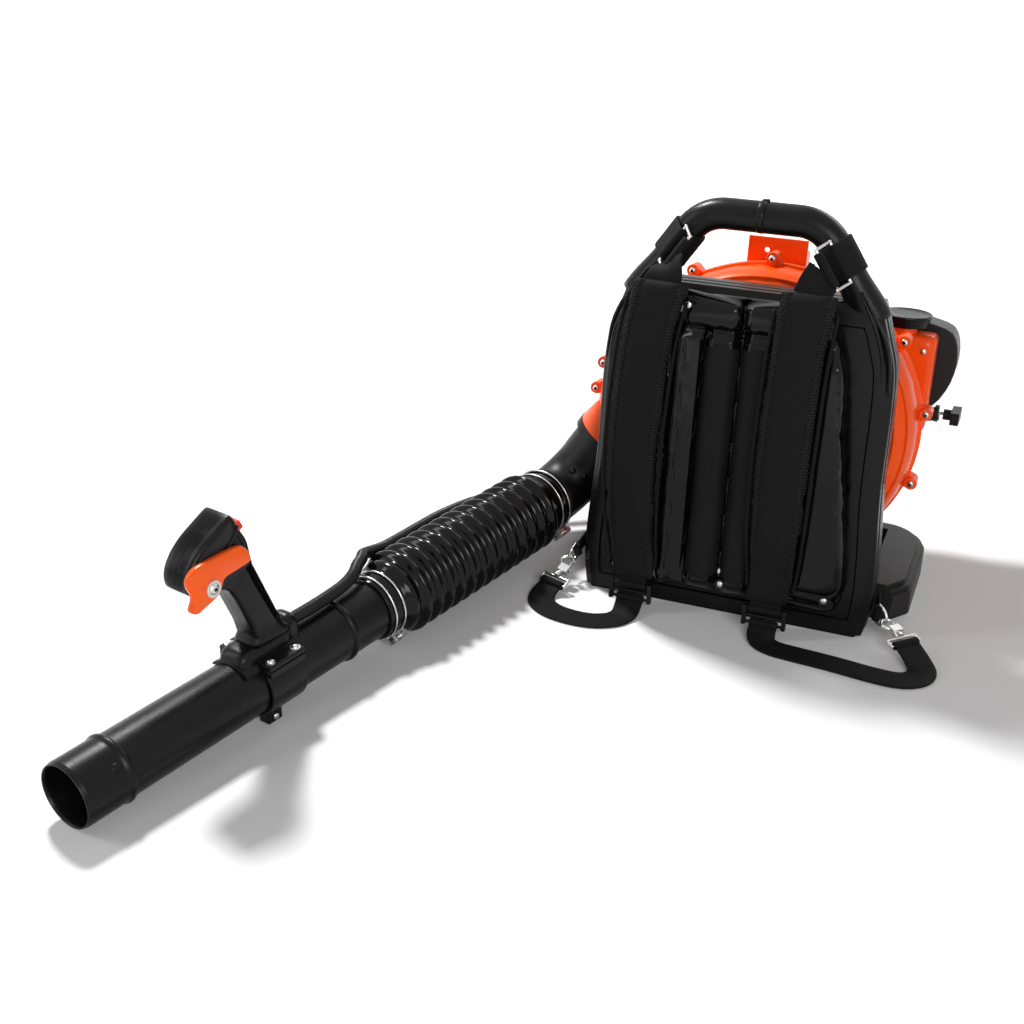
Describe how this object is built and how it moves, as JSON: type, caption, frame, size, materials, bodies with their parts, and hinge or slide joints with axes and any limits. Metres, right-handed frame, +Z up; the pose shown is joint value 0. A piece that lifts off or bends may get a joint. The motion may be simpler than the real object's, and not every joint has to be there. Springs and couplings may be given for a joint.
{
  "type": "backpack leaf blower",
  "caption": "Petrol blower on a padded carrying frame, with a scroll fan housing, an engine behind it and a ribbed, swivelling blow tube with a pistol grip",
  "frame": {"origin": "centre of the base's underside, on the ground", "axes": "+X to the wearer's left (the base's right as seen from the pad), +Y backwards away from the wearer, +Z up; the blow tube leaves on the -X side and reaches forwards, towards -Y"},
  "size_m": [0.767, 1.0015, 0.4932],
  "materials": {
    "orange_plastic": "satin moulded",
    "black_plastic": "fine moulded grain",
    "grey_plastic": "fine moulded grain",
    "gloss_black": "smooth",
    "black_rubber": "matt",
    "pad_fabric": "padded skin",
    "webbing": "woven",
    "zinc_steel": "zinc plated",
    "cast_aluminium": "as cast",
    "lever_orange": "gloss",
    "button_red": "gloss",
    "rope_white": "braided",
    "filter_foam": "open foam"
  },
  "bodies": {
    "backpack": {"frame_upright": "black_plastic", "frame_base": "grey_plastic", "back_pad": "pad_fabric", "pad_rivets": "zinc_steel", "strap_pad_left": "pad_fabric", "strap_pad_right": "pad_fabric", "upper_loop_left": "webbing", "upper_loop_right": "webbing", "strap_rings": "zinc_steel", "slide_buckles": "black_plastic", "lower_webbing_left": "webbing", "lower_webbing_right": "webbing", "anchor_tabs": "webbing", "snap_hooks": "zinc_steel", "volute_front": "orange_plastic", "volute_rear": "orange_plastic", "housing_screws": "zinc_steel", "inlet_guard": "black_plastic", "top_bracket": "orange_plastic", "rubber_mounts": "black_rubber", "crankcase": "cast_aluminium", "cylinder_block": "cast_aluminium", "spark_plug": "zinc_steel", "plug_boot": "black_rubber", "ignition_coil": "black_plastic", "muffler": "zinc_steel", "muffler_guard": "black_plastic", "carburettor": "cast_aluminium", "air_filter_element": "filter_foam", "air_filter_cover": "grey_plastic", "fuel_tank": "orange_plastic", "starter_housing": "black_plastic", "starter_rope": "rope_white", "conduit_rear": "black_rubber", "conduit_loop": "black_rubber"},
    "elbow_pipe": {"elbow": "black_rubber", "bellows": "black_rubber", "clamp_rear": "zinc_steel"},
    "blow_tube": {"blow_pipe": "gloss_black", "clamp_front": "zinc_steel", "handle_saddle": "black_plastic", "handle_band": "black_plastic", "grip_left": "black_plastic", "grip_right": "black_plastic", "handle_screws": "zinc_steel", "conduit_front": "black_rubber", "conduit_middle": "black_rubber"},
    "throttle": {"throttle_lever": "lever_orange"},
    "stop_switch": {"stop_button": "button_red"},
    "rotor": {"impeller": "black_plastic", "crankshaft": "zinc_steel", "flywheel": "cast_aluminium"},
    "rope_pulley": {"starter_pulley": "black_plastic"},
    "pull_grip": {"starter_grip": "black_plastic"},
    "choke": {"choke_lever": "black_plastic"},
    "primer": {"primer_bulb": "button_red"},
    "tank_cap": {"fuel_cap": "gloss_black"},
    "cover_knob": {"filter_knob": "black_plastic"},
    "left_gate": {"hook_gate_left": "zinc_steel"},
    "right_gate": {"hook_gate_right": "zinc_steel"}
  },
  "joints": [
    {"name": "elbow_swivel", "type": "hinge", "parent": "backpack", "child": "elbow_pipe", "pos_m": [-0.19688, 0.02126, 0.14559], "axis": [-0.5446, -0.0731, -0.8355], "range_deg": [0, 40], "deforming": ["conduit_loop"]},
    {"name": "bellows_bend", "type": "hinge", "parent": "elbow_pipe", "child": "blow_tube", "pos_m": [-0.30822, -0.20312, 0.05683], "axis": [-0.0084, -0.0312, 0.9995], "range_deg": [-20, 15], "stiffness_Nm_per_rad": 3, "deforming": ["bellows", "conduit_middle"]},
    {"name": "throttle_squeeze", "type": "hinge", "parent": "blow_tube", "child": "throttle", "pos_m": [-0.39577, -0.61875, 0.19321], "axis": [0.9659, -0.2588, 0], "range_deg": [0, 25], "stiffness_Nm_per_rad": 0.4, "springref_deg": -5.73},
    {"name": "stop_press", "type": "slide", "parent": "blow_tube", "child": "stop_switch", "axis": [-0.2276, -0.8496, -0.4759], "range_m": [0, 0.003], "stiffness_N_per_m": 600},
    {"name": "crank_spin", "type": "hinge", "parent": "backpack", "child": "rotor", "pos_m": [0.012, -0.11213, 0.20422], "axis": [0, 0.9962, -0.0872], "continuous": true},
    {"name": "starter_pull", "type": "slide", "parent": "backpack", "child": "pull_grip", "axis": [1, 0, 0], "range_m": [0, 0.5], "stiffness_N_per_m": 15, "springref_m": -0.4, "deforming": ["starter_rope"]},
    {"name": "pulley_spin", "type": "hinge", "parent": "backpack", "child": "rope_pulley", "pos_m": [0.012, 0.08013, 0.1874], "axis": [0, 0.9962, -0.0872], "range_deg": [-850, 5]},
    {"name": "choke_turn", "type": "hinge", "parent": "backpack", "child": "choke", "pos_m": [0.076, 0.12116, 0.28921], "axis": [0, 0.0872, 0.9962], "range_deg": [-55, 0]},
    {"name": "primer_press", "type": "slide", "parent": "backpack", "child": "primer", "axis": [0, 0.0872, 0.9962], "range_m": [0, 0.004], "stiffness_N_per_m": 300},
    {"name": "cap_turn", "type": "hinge", "parent": "backpack", "child": "tank_cap", "pos_m": [0.152, 0.11165, 0.31815], "axis": [0, 0.0872, 0.9962], "continuous": true},
    {"name": "knob_turn", "type": "hinge", "parent": "backpack", "child": "cover_knob", "pos_m": [0.15, 0.19634, 0.25352], "axis": [0, 0.9962, -0.0872], "continuous": true},
    {"name": "left_gate_turn", "type": "hinge", "parent": "backpack", "child": "left_gate", "pos_m": [-0.1926, -0.14023, 0.0246], "axis": [0, -0.53, 0.848], "range_deg": [0, 20], "stiffness_Nm_per_rad": 0.05},
    {"name": "right_gate_turn", "type": "hinge", "parent": "backpack", "child": "right_gate", "pos_m": [0.21294, -0.12733, 0.0239], "axis": [0.142, -0.142, 0.9796], "range_deg": [0, 20], "stiffness_Nm_per_rad": 0.05}
  ],
  "couplings": [
    {"joint": "pulley_spin", "follows": "starter_pull", "rad_per_m": -29.412}
  ]
}
